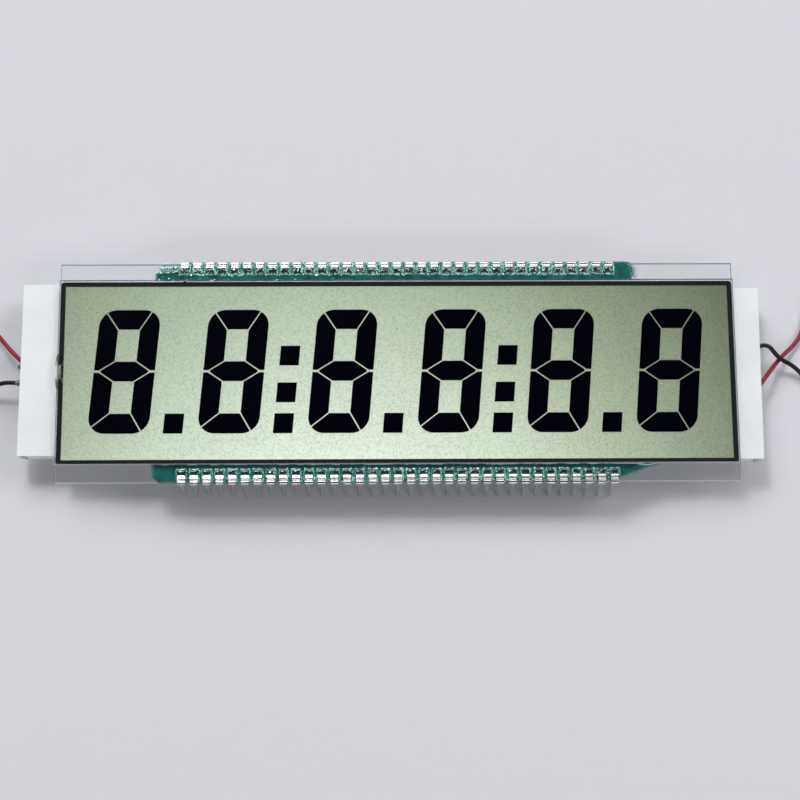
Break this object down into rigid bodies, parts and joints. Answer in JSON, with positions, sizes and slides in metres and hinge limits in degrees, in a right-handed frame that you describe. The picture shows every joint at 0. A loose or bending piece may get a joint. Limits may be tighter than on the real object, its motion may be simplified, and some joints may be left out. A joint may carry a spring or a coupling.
{
  "type": "segment lcd display",
  "caption": "Segmented liquid crystal display glass on a flat edge-lit backlight, with clip-on pin rows along both long edges and insulated leads at both ends.",
  "frame": {"origin": "centre of the backlight's outline in plan, at the level of the pin tips", "axes": "+X along the digits, +Y towards the top of the digits, +Z out of the display's face"},
  "size_m": [0.1971, 0.0488, 0.0104],
  "materials": {
    "glass": "polished",
    "polariser_film": "satin",
    "seal_line": "matt",
    "clear_resin": "glossy",
    "conductive_paste": "matt",
    "liquid_crystal": "clear",
    "dark_segment": "glossy",
    "tinned_metal": "tinned",
    "teal_resin": "glossy",
    "white_tray": "satin",
    "light_guide": "polished",
    "white_film": "matt",
    "circuit_board": "satin",
    "light_diode": "satin",
    "solder": "satin",
    "red_insulation": "satin",
    "black_insulation": "satin",
    "tie_strap": "satin"
  },
  "bodies": {
    "root": {"front_polariser": "polariser_film", "front_glass": "glass", "rear_glass": "glass", "rear_polariser": "polariser_film", "perimeter_seal": "seal_line", "fill_port_dam": "seal_line", "end_seal": "clear_resin", "crossover_dots": "conductive_paste", "liquid_crystal": "liquid_crystal", "digit_1": "dark_segment", "digit_2": "dark_segment", "digit_3": "dark_segment", "digit_4": "dark_segment", "digit_5": "dark_segment", "digit_6": "dark_segment", "decimal_points": "dark_segment", "colon_dots": "dark_segment", "lower_pins": "tinned_metal", "upper_pins": "tinned_metal", "lower_pin_resin": "teal_resin", "upper_pin_resin": "teal_resin", "backlight_tray": "white_tray", "light_guide": "light_guide", "reflector_sheet": "white_film", "diffuser_sheet": "white_film", "left_light_board": "circuit_board", "right_light_board": "circuit_board", "left_light_diodes": "light_diode", "right_light_diodes": "light_diode", "left_solder_joints": "solder", "right_solder_joints": "solder", "left_red_lead": "red_insulation", "left_red_coil": "red_insulation", "left_red_tie": "tie_strap", "left_red_tip": "tinned_metal", "left_black_lead": "black_insulation", "left_black_coil": "black_insulation", "left_black_tie": "tie_strap", "left_black_tip": "tinned_metal", "right_black_lead": "black_insulation", "right_black_coil": "black_insulation", "right_black_tie": "tie_strap", "right_black_tip": "tinned_metal", "right_red_lead": "red_insulation", "right_red_coil": "red_insulation", "right_red_tie": "tie_strap", "right_red_tip": "tinned_metal"}
  },
  "joints": []
}
